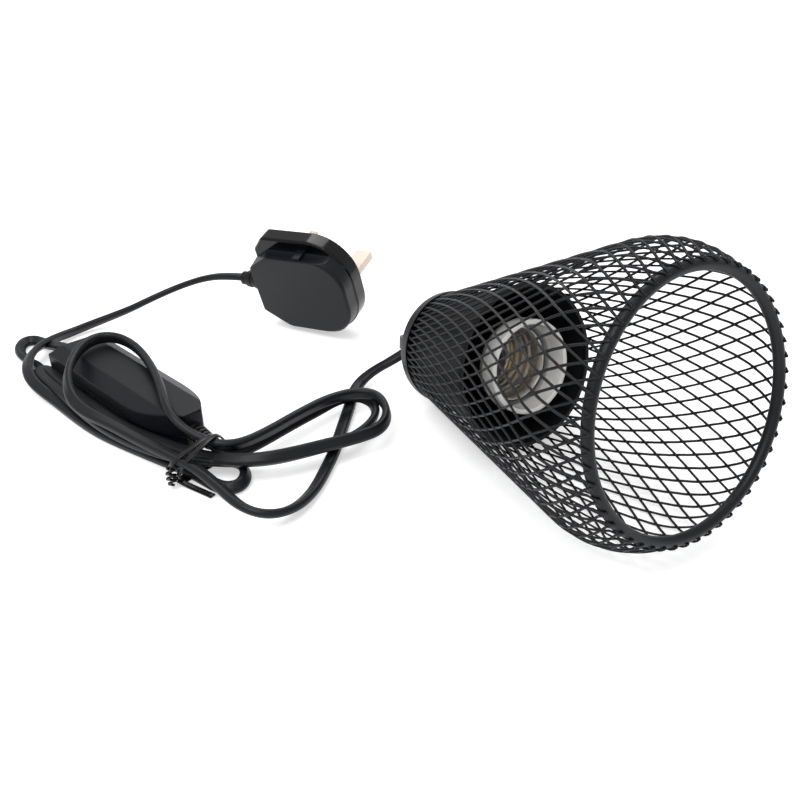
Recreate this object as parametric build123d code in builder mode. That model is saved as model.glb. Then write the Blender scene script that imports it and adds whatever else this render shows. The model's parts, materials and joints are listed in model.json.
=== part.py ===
from build123d import *
from math import acos, asin, atan, atan2, cos, degrees, hypot, pi, radians, sin, tan
import os

os.makedirs("parts", exist_ok=True)

# Heat lamp guard, lying on its side with the wide mouth toward +X, in millimetres.
# Radii and heights along the guard's own axis; its narrow end is height 0.
narrow_radius = 22.5
cone_length = 103.0
shoulder_start_radius = 48.0
shoulder_bend = 23.9
mesh_wall = 0.9
mesh_strand = 2.0
mesh_columns = 16
mesh_rows = 7
mesh_hem = 4.0
mesh_mouth_hem = 2.6

ring_wire = 3.8
ring_clearance = 0.1
ring_sink = 1.37
ring_angle = 43.2

plate_gauge = 1.0
plate_lip = 3.2
plate_corner = 1.5

cup_base_radius = 19.6
cup_mouth_radius = 30.5
cup_length = 51.9
cup_wall = 0.9
cup_bead = 0.7
cup_corner = 3.0

body_base_radius = 15.2
body_top_radius = 17.55
body_top = 54.0
body_collar = 6.5
body_recess_radius = 15.7
body_recess = 9.3
body_floor = 21.0
body_floor_thickness = 7.0
wiring_radius = 12.6

shell_bore_radius = 13.3
shell_wall = 0.5
shell_clearance = 0.25
shell_base_flange = 4.0
shell_neck_step = 0.8
shell_neck = 5.0
contact_width = 6.0
contact_gauge = 0.6
contact_rise = 4.2
contact_reach = 6.5

nipple_radius = 4.9
nipple_bore = 3.4
nipple_inside = 7.5
nipple_outside = 7.0
thread_clearance = 0.15
nut_across = 14.0
nut_height = 2.6
bridge_gauge = 1.2
bridge_clearance = 0.3
terminal_spacing = 15.0
terminal_radius = 2.0
terminal_height = 4.0

loop_width = 26.0
loop_reach = 23.0
loop_gauge = 1.3
loop_strip = 5.0
loop_turn = -10.0

grip_radius = 6.6
grip_end_radius = 3.9
grip_length = 9.0
grip_collar = 3.0

cord_thickness = 4.8
cord_first_run = 3.7

# The in-line box of the cord.
box_x = -160.14
box_y = -125.85
box_yaw = 12.88
box_straight = 63.0
box_length = 92.5
box_width = 25.3
box_tip_width = 7.6
box_height = 16.2
box_facet_width = 14.1
box_shoulder_height = 13.0
box_end_bevel = 3.0
box_seam_height = 6.6
box_seam_step = 0.35
box_screw_radius = 1.8
box_screw_depth = 3.0
relief_radius = 4.0
relief_end_radius = 2.8
relief_height = 7.4
right_relief_length = 10.4
left_relief_length = 7.6
relief_groove = 0.9
relief_step = 1.1

# The mains plug, from its hand face toward the pins.
plug_x = -156.5
plug_y = -39.95
plug_z = 21.1
plug_yaw = 31.75
plug_tilt = 16.93
plug_roll = -3.44
plug_depth = 15.6
plug_rim = 7.8
hand_length = 50.6
hand_width = 41.9
hand_nose_width = 24.6
hand_nose_length = 13.6
hand_flare = 3.0
hand_round = 16.8
hand_shoulder_round = 10.0
nose_round = 2.0
rim_length = 50.9
rim_width = 50.3
rim_nose_width = 36.2
rim_nose_length = 6.0
rim_round = 21.0
rim_shoulder_round = 3.0
grip_scoop_radius = 9.0
grip_scoop_depth = 2.0
grip_ridge = 4.0
earth_place = 41.4
earth_length = 22.7
line_place = 19.2
line_spread = 22.2
line_length = 17.7
earth_size = (8.0, 4.0)
line_size = (4.0, 6.35)
pin_tip = 1.1
sleeve_length = 9.0
sleeve_wall = 0.5
pin_seat = 3.0
pin_clearance = 0.05
carrier_size = (7.4, 17.0)
carrier_place = 30.5
carrier_depth = 4.0
carrier_clearance = 0.15
collar_length = 12.0
collar_radius = 4.6
collar_end_radius = 3.3

# The tied bundle and its band.
bundle_lift = 1.1
bundle_height = 6.9
small_loop_height = 3.9
tie_gauge = 0.8
tie_width = 3.2
tie_x = -56.2
tie_front = -124.0
tie_back = -100.3
tie_height = 14.2
tie_round = 1.7

# What follows from those sizes.
half_angle = atan((shoulder_start_radius - (narrow_radius - plate_gauge)) / cone_length)
sin_half = sin(half_angle)
cos_half = cos(half_angle)
mesh_foot_radius = narrow_radius - plate_gauge / cos_half
mesh_slope = (shoulder_start_radius - mesh_foot_radius) / cone_length
bend_radius_place = shoulder_start_radius - shoulder_bend * cos_half
bend_height = cone_length + shoulder_bend * sin_half
lip_radius = narrow_radius + plate_lip * mesh_slope
ring_distance = shoulder_bend - ring_sink
ring_radius = bend_radius_place + ring_distance * cos(radians(ring_angle))
ring_height = bend_height + ring_distance * sin(radians(ring_angle))

# The mesh's inner face ends just clear of the ring's wire.
inner_bend = shoulder_bend - mesh_wall
ring_room = ring_wire / 2 + ring_clearance
ring_share = (inner_bend**2 + ring_distance**2 - ring_room**2) / (2 * inner_bend * ring_distance)
shoulder_end_angle = ring_angle - degrees(acos(ring_share))

# The guard rests on the lip of its plate and on the widest line of its shoulder.
lie_rise = atan2(bend_radius_place - lip_radius, bend_height - plate_lip)
lie_reach = hypot(bend_radius_place - lip_radius, bend_height - plate_lip)
lie_angle = lie_rise + asin(shoulder_bend / lie_reach)
sin_lie = sin(lie_angle)
cos_lie = cos(lie_angle)
centre_height = lip_radius * cos_lie - plate_lip * sin_lie
front_x = ring_height * cos_lie + ring_radius * sin_lie + ring_wire / 2
back_x = -loop_reach * cos_lie - loop_strip / 2 * sin_lie
centre_x = -(front_x + back_x) / 2

guard = Plane(
    origin=(centre_x, 0, centre_height),
    x_dir=(-sin_lie, 0, cos_lie),
    z_dir=(cos_lie, 0, sin_lie),
)
guard_axis = Axis(guard.origin, guard.z_dir)
section = Plane(origin=guard.origin, x_dir=guard.x_dir, z_dir=-guard.y_dir)


def guard_level(height):
    return Plane(origin=guard.origin + guard.z_dir * height, x_dir=guard.x_dir, z_dir=guard.z_dir)


def bend_point(radius, angle):
    turn = radians(angle)
    return (bend_radius_place + radius * cos(turn), bend_height + radius * sin(turn))


def wall_place(travel):
    """Radius, height and lean of the mesh's outer face after a travel along its profile."""
    straight = cone_length / cos_half
    if travel <= straight:
        return mesh_foot_radius + travel * sin_half, travel * cos_half, -half_angle
    lean = (travel - straight) / shoulder_bend - half_angle
    radius = bend_radius_place + shoulder_bend * cos(lean)
    height = bend_height + shoulder_bend * sin(lean)
    return radius, height, lean


# Mesh guard: one drawn cone with a rounded shoulder, open in staggered rows of diamonds.
wall_start = (mesh_foot_radius + plate_gauge * mesh_slope, plate_gauge)
wall_bend = (shoulder_start_radius, cone_length)
wall_inset = (mesh_wall * cos_half, mesh_wall * sin_half)
wall_start_inner = (wall_start[0] - mesh_wall / cos_half, plate_gauge)
wall_bend_inner = (wall_bend[0] - wall_inset[0], wall_bend[1] + wall_inset[1])
middle_angle = (shoulder_end_angle - degrees(half_angle)) / 2
wall_end = bend_point(shoulder_bend, shoulder_end_angle)
wall_end_inner = bend_point(inner_bend, shoulder_end_angle)
wall_travel = cone_length / cos_half + shoulder_bend * (half_angle + radians(shoulder_end_angle))
row_pitch = (wall_travel - mesh_hem - mesh_mouth_hem) / (mesh_rows - 1)

with BuildPart() as mesh_guard:
    with BuildSketch(section):
        with BuildLine():
            Line(wall_start, wall_bend)
            ThreePointArc(wall_bend, bend_point(shoulder_bend, middle_angle), wall_end)
            Line(wall_end, wall_end_inner)
            ThreePointArc(wall_end_inner, bend_point(inner_bend, middle_angle), wall_bend_inner)
            Line(wall_bend_inner, wall_start_inner)
            Line(wall_start_inner, wall_start)
        make_face()
    revolve(axis=guard_axis)
    for row in range(mesh_rows):
        row_travel = mesh_hem + row * row_pitch
        row_radius, row_height, row_lean = wall_place(row_travel)
        along = (sin(-row_lean), cos(row_lean))
        reach = {}
        for step in (-1, 1):
            tip_travel = min(max(row_travel + step * row_pitch, mesh_hem), wall_travel - mesh_mouth_hem)
            tip_radius, tip_height, tip_lean = wall_place(tip_travel)
            reach[step] = (tip_radius - row_radius) * along[0] + (tip_height - row_height) * along[1]
        half_width = pi * row_radius / mesh_columns
        outward = (cos(row_lean), 0, sin(row_lean))
        tangent = Plane(origin=(row_radius, 0, row_height), x_dir=(0, 1, 0), z_dir=outward)
        corners = [(-half_width, 0), (0, reach[-1]), (half_width, 0), (0, reach[1])]
        if row == 0:
            corners = [(-half_width, 0), (half_width, 0), (0, reach[1])]
        if row == mesh_rows - 1:
            corners = [(-half_width, 0), (0, reach[-1]), (half_width, 0)]
        with BuildPart(mode=Mode.PRIVATE) as diamond:
            with BuildSketch(tangent):
                Polygon(*corners, align=None)
                offset(amount=-mesh_strand / 2, kind=Kind.INTERSECTION)
            extrude(amount=9.0, both=True)
        with Locations(guard):
            with PolarLocations(0, mesh_columns, start_angle=180 / mesh_columns * (row % 2)):
                add(diamond.part, mode=Mode.SUBTRACT)
mesh_guard.part.label = "mesh_guard"
export_step(mesh_guard.part, "parts/mesh_guard.step")


# Mouth ring: a smooth wire that closes the mesh's wide end.
with BuildPart() as mouth_ring:
    with BuildSketch(section):
        with Locations((ring_radius, ring_height)):
            Circle(ring_wire / 2)
    revolve(axis=guard_axis)
mouth_ring.part.label = "mouth_ring"
export_step(mouth_ring.part, "parts/mouth_ring.step")


# Top plate: a drawn disc whose lip is rolled over the mesh's narrow end.
plate_hole = nipple_radius + thread_clearance
lip_gauge = plate_gauge / cos_half - 0.05
with BuildPart() as top_plate:
    with BuildSketch(section):
        with BuildLine():
            FilletPolyline(
                (plate_hole, 0),
                (narrow_radius, 0),
                (lip_radius, plate_lip),
                (lip_radius - lip_gauge, plate_lip),
                (narrow_radius - lip_gauge + plate_gauge * mesh_slope, plate_gauge - 0.05),
                (plate_hole, plate_gauge - 0.05),
                radius=[0, plate_corner, 0.35, 0.25, 0, 0],
                close=True,
            )
        make_face()
    revolve(axis=guard_axis)
top_plate.part.label = "top_plate"
export_step(top_plate.part, "parts/top_plate.step")


# Lamp cup: a deep conical cup round the lamp holder, with a beaded mouth.
cup_floor = plate_gauge - 0.05
cup_top_inner = cup_mouth_radius - cup_bead - cup_wall
with BuildPart() as lamp_cup:
    with BuildSketch(section):
        with BuildLine():
            FilletPolyline(
                (plate_hole, cup_floor),
                (cup_base_radius, cup_floor),
                (cup_mouth_radius - cup_bead, cup_length - 3 * cup_bead),
                (cup_mouth_radius, cup_length - 2 * cup_bead),
                (cup_mouth_radius, cup_length),
                (cup_top_inner, cup_length),
                (cup_top_inner - 0.2, cup_length - 3 * cup_bead),
                (cup_base_radius - cup_wall, cup_floor + cup_wall),
                (plate_hole, cup_floor + cup_wall),
                radius=[0, cup_corner, 0.4, 0.4, 0.4, 0.3, 0.4, cup_corner - cup_wall, 0],
                close=True,
            )
        make_face()
    revolve(axis=guard_axis)
lamp_cup.part.label = "lamp_cup"
export_step(lamp_cup.part, "parts/lamp_cup.step")


# Porcelain lamp holder, glazed, with a recess in front of the screw shell.
holder_seat = cup_floor + cup_wall
shell_pocket_radius = shell_bore_radius + shell_wall + shell_clearance
recess_floor = body_top - body_recess
with BuildPart() as porcelain_body:
    with BuildSketch(section):
        with BuildLine():
            FilletPolyline(
                (wiring_radius, holder_seat),
                (body_base_radius, holder_seat),
                (body_top_radius - 0.9, body_top - body_collar - 1.5),
                (body_top_radius, body_top - body_collar),
                (body_top_radius, body_top),
                (body_recess_radius, body_top),
                (body_recess_radius - 0.3, recess_floor),
                (shell_pocket_radius, recess_floor),
                (shell_pocket_radius, body_floor),
                (nipple_bore, body_floor),
                (nipple_bore, body_floor - body_floor_thickness),
                (wiring_radius, body_floor - body_floor_thickness),
                radius=[0, 1.0, 1.0, 1.0, 0.9, 0.7, 0.8, 0.4, 0, 0, 0, 1.0],
                close=True,
            )
        make_face()
    revolve(axis=guard_axis)
porcelain_body.part.label = "porcelain_body"
export_step(porcelain_body.part, "parts/porcelain_body.step")


# Screw shell of the socket: it steps in to a neck above its turned-in foot on the porcelain floor.
shell_neck_radius = shell_bore_radius - shell_neck_step
shell_thread_start = body_floor + shell_neck
with BuildPart() as screw_shell:
    with BuildSketch(section):
        with BuildLine():
            Polyline(
                (shell_bore_radius - shell_base_flange, body_floor),
                (shell_neck_radius + shell_wall, body_floor),
                (shell_neck_radius + shell_wall, shell_thread_start - shell_neck_step),
                (shell_bore_radius + shell_wall, shell_thread_start),
                (shell_bore_radius + shell_wall, recess_floor),
                (shell_bore_radius, recess_floor),
                (shell_bore_radius, shell_thread_start),
                (shell_neck_radius, shell_thread_start - shell_neck_step),
                (shell_neck_radius, body_floor + shell_wall),
                (shell_bore_radius - shell_base_flange, body_floor + shell_wall),
                close=True,
            )
        make_face()
    revolve(axis=guard_axis)
screw_shell.part.label = "screw_shell"
export_step(screw_shell.part, "parts/screw_shell.step")


# Centre contact: a sprung brass tongue on the porcelain floor.
contact_plane = Plane(origin=guard.origin, x_dir=guard.y_dir, z_dir=guard.x_dir)
with BuildPart() as centre_contact:
    with BuildSketch(contact_plane):
        with BuildLine():
            Polyline(
                (-contact_reach, body_floor),
                (contact_reach * 0.4, body_floor),
                (contact_reach * 0.4, body_floor + contact_gauge),
                (-contact_reach + 1.6, body_floor + contact_gauge),
                (-1.5, body_floor + contact_rise - contact_gauge),
                (1.5, body_floor + contact_rise - contact_gauge),
                (2.2, body_floor + contact_rise - contact_gauge - 1.0),
                (2.8, body_floor + contact_rise - contact_gauge - 0.7),
                (1.9, body_floor + contact_rise),
                (-1.9, body_floor + contact_rise),
                (-contact_reach, body_floor + contact_gauge),
                close=True,
            )
        make_face()
    extrude(amount=contact_width / 2, both=True)
centre_contact.part.label = "centre_contact"
export_step(centre_contact.part, "parts/centre_contact.step")


# Threaded nipple that holds plate, cup and lamp holder together.
with BuildPart() as threaded_nipple:
    with BuildSketch(guard_level(-nipple_outside)):
        Circle(nipple_radius)
        Circle(nipple_bore, mode=Mode.SUBTRACT)
    extrude(amount=nipple_outside + holder_seat + nipple_inside)
threaded_nipple.part.label = "threaded_nipple"
export_step(threaded_nipple.part, "parts/threaded_nipple.step")


# Steel bridge in the foot of the porcelain, and the nut that clamps it.
with BuildPart() as holder_bridge:
    with BuildSketch(guard_level(holder_seat)):
        Circle(wiring_radius - bridge_clearance)
        Circle(plate_hole, mode=Mode.SUBTRACT)
        with Locations((0, wiring_radius), (0, -wiring_radius)):
            Rectangle(2 * wiring_radius, wiring_radius, mode=Mode.SUBTRACT)
    extrude(amount=bridge_gauge)
holder_bridge.part.label = "holder_bridge"
export_step(holder_bridge.part, "parts/holder_bridge.step")

with BuildPart() as nipple_nut:
    with BuildSketch(guard_level(holder_seat + bridge_gauge)):
        RegularPolygon(nut_across / 2, 6, major_radius=False)
        Circle(nipple_radius + thread_clearance / 3, mode=Mode.SUBTRACT)
    extrude(amount=nut_height)
nipple_nut.part.label = "nipple_nut"
export_step(nipple_nut.part, "parts/nipple_nut.step")


# Two brass terminals under the porcelain floor.
with BuildPart() as terminals:
    with BuildSketch(guard_level(body_floor - body_floor_thickness)):
        with Locations((0, terminal_spacing / 2), (0, -terminal_spacing / 2)):
            Circle(terminal_radius)
    extrude(amount=-terminal_height)
terminals.part.label = "terminals"
export_step(terminals.part, "parts/terminals.step")


# Hanging loop: a strip bent to a closed stirrup, held under the cord grip and turned a little.
loop_turning = Axis((0, 0, 0), guard.z_dir)
loop_plane = Plane(
    origin=guard.origin,
    x_dir=guard.y_dir.rotate(loop_turning, loop_turn),
    z_dir=guard.x_dir.rotate(loop_turning, loop_turn),
)
with BuildPart() as hanging_loop:
    with BuildSketch(loop_plane):
        with BuildLine():
            FilletPolyline(
                (-loop_width / 2, 0),
                (-loop_width / 2, -loop_reach),
                (loop_width / 2, -loop_reach),
                (loop_width / 2, 0),
                radius=[3.0, loop_width / 2 - 3.0, loop_width / 2 - 3.0, 3.0],
                close=True,
            )
        make_face()
        offset(amount=-loop_gauge, mode=Mode.SUBTRACT)
    extrude(amount=loop_strip / 2, both=True)
    with BuildSketch(guard_level(0)):
        Circle(nipple_radius + 2.6)
    extrude(amount=-loop_gauge)
    with BuildSketch(guard_level(0)):
        Circle(plate_hole)
    extrude(amount=-2 * loop_gauge, mode=Mode.SUBTRACT)
hanging_loop.part.label = "hanging_loop"
export_step(hanging_loop.part, "parts/hanging_loop.step")


# Cord grip: a tapered sleeve screwed on the nipple.
grip_seat = -loop_gauge
grip_end = grip_seat - grip_length
with BuildPart() as cord_grip:
    with BuildSketch(section):
        with BuildLine():
            Polyline(
                (0, grip_end),
                (grip_end_radius, grip_end),
                (grip_end_radius + 0.7, grip_end + 1.0),
                (grip_radius - 0.8, grip_seat - grip_collar - 0.8),
                (grip_radius, grip_seat - grip_collar),
                (grip_radius, grip_seat),
                (nipple_radius + thread_clearance / 3, grip_seat),
                (nipple_radius + thread_clearance / 3, -nipple_outside - 0.2),
                (0, -nipple_outside - 0.2),
                close=True,
            )
        make_face()
    revolve(axis=guard_axis)
cord_grip.part.label = "cord_grip"
export_step(cord_grip.part, "parts/cord_grip.step")


def bend_radii(route):
    """The largest tangent arc that the two runs beside each corner leave room for."""
    radii = []
    for before, corner, after in zip(route, route[1:], route[2:]):
        run_in = Vector(*corner) - Vector(*before)
        run_out = Vector(*after) - Vector(*corner)
        turn = radians(run_in.get_angle(run_out))
        radii.append(0.45 * min(run_in.length, run_out.length) / tan(turn / 2))
    return radii


def tell_cord(name, line, radii):
    length = sum(edge.length for edge in line.edges())
    print(name, "length", round(length, 1), "bend radii", [round(value, 1) for value in radii])


# Lamp cord, from its grip to the tied bundle, under the big loops.
grip_exit = guard.origin + guard.z_dir * (grip_end - 0.05)
grip_turn = guard.origin + guard.z_dir * (grip_end - cord_first_run)
lamp_route = [
    (grip_exit.X, grip_exit.Y, grip_exit.Z),
    (grip_turn.X, grip_turn.Y, grip_turn.Z),
    (-71.8, -2.6, 16.3),
    (-73.6, -10.8, 11.9),
    (-77.6, -21.0, 7.4),
    (-76.6, -31.4, 3.4),
    (-66.6, -40.4, 2.5),
    (-52.6, -51.0, 2.5),
    (-38.2, -63.6, 2.5),
    (-24.6, -76.2, 2.5),
    (-14.8, -89.6, 2.5),
    (-11.6, -102.0, 4.6),
    (-19.0, -111.0, 7.0),
    (-31.0, -113.3, 7.6),
    (-43.95, -110.5, 7.6),
]
lamp_radii = bend_radii(lamp_route)
with BuildPart() as lamp_cord:
    with BuildLine() as lamp_line:
        FilletPolyline(*lamp_route, radius=lamp_radii)
    with BuildSketch(Plane(origin=lamp_line.line @ 0, z_dir=lamp_line.line % 0)):
        Circle(cord_thickness / 2)
    sweep()
lamp_cord.part.label = "lamp_cord"
export_step(lamp_cord.part, "parts/lamp_cord.step")
tell_cord("lamp cord", lamp_line, lamp_radii)


# Tied bundle along the box: the strands that lie side by side and on each other there.
bundle_outline = [
    (-42.2, -101.4),
    (-46.0, -119.2),
    (-60.0, -123.4),
    (-91.0, -132.6),
    (-115.0, -140.8),
    (-141.0, -148.6),
    (-160.0, -150.4),
    (-171.4, -149.4),
    (-168.6, -140.2),
    (-157.0, -139.8),
    (-95.4, -125.3),
    (-78.6, -119.0),
    (-68.2, -110.4),
    (-58.9, -106.7),
    (-59.9, -101.4),
]
with BuildPart() as cord_bundle:
    with BuildSketch(Plane.XY.offset(bundle_lift)):
        Polygon(*bundle_outline, align=None)
    extrude(amount=bundle_height)
    chamfer(cord_bundle.faces().sort_by(Axis.Z)[-1].edges(), 0.9)
cord_bundle.part.label = "cord_bundle"
export_step(cord_bundle.part, "parts/cord_bundle.step")


# Big loops to the right of the bundle: two turns that lie on the lamp cord.
loops_lift = cord_thickness + 0.3
loops_outline = [
    (-53.4, -101.1),
    (-54.8, -92.0),
    (-59.0, -81.0),
    (-66.8, -61.0),
    (-69.0, -47.0),
    (-66.5, -35.5),
    (-55.0, -29.2),
    (-39.0, -33.2),
    (-27.7, -43.5),
    (-25.4, -58.0),
    (-26.5, -74.5),
    (-30.8, -88.5),
    (-42.6, -101.1),
]
with BuildPart() as big_loops:
    with BuildSketch(Plane.XY.offset(loops_lift)):
        with BuildLine():
            FilletPolyline(*loops_outline, radius=[0] + [6.0] * 11 + [0], close=True)
        make_face()
        offset(amount=-7.4, kind=Kind.INTERSECTION, mode=Mode.SUBTRACT)
    extrude(amount=5.4)
big_loops.part.label = "big_loops"
export_step(big_loops.part, "parts/big_loops.step")


# Small loop beside the band, under the lamp cord.
with BuildPart() as small_loop:
    with BuildSketch(Plane.XY.offset(bundle_lift)):
        with Locations((-40.0, -106.4)):
            Circle(9.6)
            Circle(4.4, mode=Mode.SUBTRACT)
        Polygon(*bundle_outline, align=None, mode=Mode.SUBTRACT)
    extrude(amount=small_loop_height)
small_loop.part.label = "small_loop"
export_step(small_loop.part, "parts/small_loop.step")


# Top loop: one strand that rises over the box and comes back along the bundle.
top_route = [
    (-47.0, -108.4, 10.4),
    (-60.5, -109.4, 10.4),
    (-68.6, -113.2, 16.2),
    (-75.6, -114.8, 21.0),
    (-92.0, -111.0, 19.8),
    (-109.0, -108.0, 19.2),
    (-127.0, -107.4, 19.4),
    (-143.0, -110.4, 20.0),
    (-152.6, -119.0, 20.0),
    (-147.0, -130.6, 20.0),
    (-133.0, -137.6, 18.6),
    (-118.0, -138.6, 15.0),
    (-102.0, -134.4, 11.6),
    (-86.0, -128.6, 10.6),
    (-70.0, -122.6, 10.6),
    (-59.0, -118.6, 10.4),
    (-48.0, -116.6, 10.4),
]
top_radii = bend_radii(top_route)
with BuildPart() as top_loop:
    with BuildLine() as top_line:
        FilletPolyline(*top_route, radius=top_radii)
    with BuildSketch(Plane(origin=top_line.line @ 0, z_dir=top_line.line % 0)):
        Circle(cord_thickness / 2)
    sweep()
top_loop.part.label = "top_loop"
export_step(top_loop.part, "parts/top_loop.step")
tell_cord("top loop", top_line, top_radii)


# Band round the bundle, with its knot and loose tail.
tie_middle = (tie_front + tie_back) / 2
tie_plane = Plane(origin=(tie_x, tie_middle, tie_height / 2), x_dir=(0, 1, 0), z_dir=(1, 0, 0))
with BuildPart() as cord_tie:
    with BuildSketch(tie_plane):
        RectangleRounded(tie_back - tie_front, tie_height, tie_round)
        RectangleRounded(
            tie_back - tie_front - 2 * tie_gauge,
            tie_height - 2 * tie_gauge,
            tie_round - tie_gauge,
            mode=Mode.SUBTRACT,
        )
    extrude(amount=tie_width / 2, both=True)
    with BuildSketch(Plane.XY.offset(1.6)):
        with Locations((tie_x + 2.6, tie_front - 1.4)):
            Ellipse(3.6, 2.2, rotation=20)
    extrude(amount=4.4)
    with BuildSketch(Plane.XY):
        Polygon(
            (tie_x + 0.6, tie_front + 0.4),
            (tie_x + 1.8, tie_front - 2.6),
            (tie_x + 21.0, tie_front + 8.0),
            (tie_x + 19.6, tie_front + 10.8),
            align=None,
        )
    extrude(amount=tie_gauge)
    with BuildSketch(Plane.XY):
        with Locations((tie_x + 2.6, tie_front - 1.4)):
            Ellipse(1.8, 1.2, rotation=20)
    extrude(amount=2.0)
cord_tie.part.label = "cord_tie"
export_step(cord_tie.part, "parts/cord_tie.step")


# In-line box: a base and a bevelled cover with a rounded tip.
box = Plane(origin=(box_x, box_y, 0), x_dir=Vector(1, 0, 0).rotate(Axis.Z, box_yaw), z_dir=(0, 0, 1))
box_half = box_width / 2
box_tip_middle = (box_straight + 0.62 * (box_length - box_straight), box_half * 0.76)


def box_level(height):
    return Plane(origin=box.origin + box.z_dir * height, x_dir=box.x_dir, z_dir=box.z_dir)


def box_outline(inset):
    half = box_half - inset
    tip = box_tip_width / 2 - inset
    middle = (box_tip_middle[0] - 0.4 * inset, box_tip_middle[1] - inset)
    end = box_length - inset
    Line((inset, -half), (box_straight, -half))
    ThreePointArc((box_straight, -half), (middle[0], -middle[1]), (end, -tip))
    Line((end, -tip), (end, tip))
    ThreePointArc((end, tip), middle, (box_straight, half))
    Line((box_straight, half), (inset, half))
    Line((inset, half), (inset, -half))


box_end = Plane(origin=box.origin, x_dir=box.y_dir, z_dir=box.x_dir)
with BuildPart() as switch_cover:
    with BuildSketch(box_level(box_seam_height)):
        with BuildLine():
            box_outline(0)
        make_face()
    extrude(amount=box_height - box_seam_height)
    with BuildSketch(box_end):
        for side in (-1, 1):
            Polygon(
                (side * box_half, box_shoulder_height),
                (side * box_facet_width / 2, box_height),
                (side * box_facet_width / 2, box_height + 1),
                (side * (box_half + 1), box_height + 1),
                (side * (box_half + 1), box_shoulder_height),
                align=None,
            )
    extrude(amount=box_length, mode=Mode.SUBTRACT)
    with BuildSketch(Plane(origin=box.origin, x_dir=box.x_dir, z_dir=-box.y_dir)):
        Polygon(
            (0, box_height - box_end_bevel * 1.2),
            (box_end_bevel, box_height),
            (box_end_bevel, box_height + 1),
            (-1, box_height + 1),
            (-1, box_height - box_end_bevel * 1.2),
            align=None,
        )
    extrude(amount=box_half + 1, both=True, mode=Mode.SUBTRACT)
switch_cover.part.label = "switch_cover"
export_step(switch_cover.part, "parts/switch_cover.step")

box_screw_places = [(9.0, 0), (box_straight + 12.0, 0)]
with BuildPart() as switch_base:
    with BuildSketch(box_level(0)):
        with BuildLine():
            box_outline(box_seam_step)
        make_face()
    extrude(amount=box_seam_height)
    chamfer(switch_base.faces().sort_by(Axis.Z)[0].edges(), 0.8)
    with BuildSketch(box_level(0)):
        with Locations(*box_screw_places):
            Circle(box_screw_radius + 0.3)
    extrude(amount=box_screw_depth, mode=Mode.SUBTRACT)
switch_base.part.label = "switch_base"
export_step(switch_base.part, "parts/switch_base.step")

with BuildPart() as switch_screws:
    with BuildSketch(box_level(0.4)):
        with Locations(*box_screw_places):
            Circle(box_screw_radius)
    extrude(amount=box_screw_depth - 0.4)
switch_screws.part.label = "switch_screws"
export_step(switch_screws.part, "parts/switch_screws.step")


def relief_profile(length, start_radius, end_radius, grooves):
    """Half section of a tapered sleeve with ring grooves, from the box outward."""
    points = [(0, 0), (0, start_radius)]
    pitch = length / (grooves + 1)
    for number in range(grooves):
        middle = (number + 0.9) * pitch
        for place, depth in ((-0.5, 0), (-0.5, relief_step), (0.5, relief_step), (0.5, 0)):
            spot = middle + place * relief_groove
            radius = start_radius + (end_radius - start_radius) * spot / length
            points.append((spot, radius - depth))
    points.append((length, end_radius))
    points.append((length, 0))
    return points


relief_centre = box.origin + box.z_dir * relief_height
right_relief_plane = Plane(origin=relief_centre + box.x_dir * box_length, x_dir=box.x_dir, z_dir=box.y_dir)
with BuildPart() as right_relief:
    with BuildSketch(right_relief_plane):
        Polygon(*relief_profile(right_relief_length, relief_radius, relief_end_radius, 4), align=None)
    revolve(axis=Axis(right_relief_plane.origin, box.x_dir))
right_relief.part.label = "right_relief"
export_step(right_relief.part, "parts/right_relief.step")

left_relief_plane = Plane(origin=relief_centre, x_dir=-box.x_dir, z_dir=box.y_dir)
with BuildPart() as left_relief:
    with BuildSketch(left_relief_plane):
        Polygon(*relief_profile(left_relief_length, relief_radius, relief_end_radius, 3), align=None)
    revolve(axis=Axis(left_relief_plane.origin, -box.x_dir))
left_relief.part.label = "left_relief"
export_step(left_relief.part, "parts/left_relief.step")


# Left loop: the strand that turns out of the box's left end and back to the bundle.
left_exit = relief_centre - box.x_dir * (left_relief_length + 0.05)
left_turn = relief_centre - box.x_dir * (left_relief_length + 6.0)
left_route = [
    (left_exit.X, left_exit.Y, left_exit.Z),
    (left_turn.X, left_turn.Y, left_turn.Z),
    (-183.0, -132.2, 3.4),
    (-192.0, -133.6, 2.5),
    (-200.5, -135.6, 2.5),
    (-203.6, -142.0, 2.5),
    (-198.4, -148.0, 2.5),
    (-186.6, -147.2, 2.5),
    (-170.9, -142.4, 2.5),
]
left_radii = bend_radii(left_route)
with BuildPart() as left_loop:
    with BuildLine() as left_line:
        FilletPolyline(*left_route, radius=left_radii)
    with BuildSketch(Plane(origin=left_line.line @ 0, z_dir=left_line.line % 0)):
        Circle(cord_thickness / 2)
    sweep()
left_loop.part.label = "left_loop"
export_step(left_loop.part, "parts/left_loop.step")
tell_cord("left loop", left_line, left_radii)


# Plug: a hand face, a concave waist and a thick rim round the pins.
plug_along = Vector(1, 0, 0).rotate(Axis.Z, plug_yaw)
plug_pins = Vector(0, 1, 0).rotate(Axis.Z, plug_yaw).rotate(Axis((0, 0, 0), plug_along), plug_tilt)
plug_along = plug_along.rotate(Axis((0, 0, 0), plug_pins), plug_roll)
plug = Plane(origin=(plug_x, plug_y, plug_z), x_dir=plug_along, z_dir=plug_pins)


def plug_level(depth):
    return Plane(origin=plug.origin + plug.z_dir * depth, x_dir=plug.x_dir, z_dir=plug.z_dir)


def nosed_outline(length, width, nose_width, nose_length, nose_round, shoulder_round, end_round):
    FilletPolyline(
        (0, -nose_width / 2),
        (nose_length, -width / 2),
        (length, -width / 2),
        (length, width / 2),
        (nose_length, width / 2),
        (0, nose_width / 2),
        radius=[nose_round, shoulder_round, end_round, end_round, shoulder_round, nose_round],
        close=True,
    )


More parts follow.
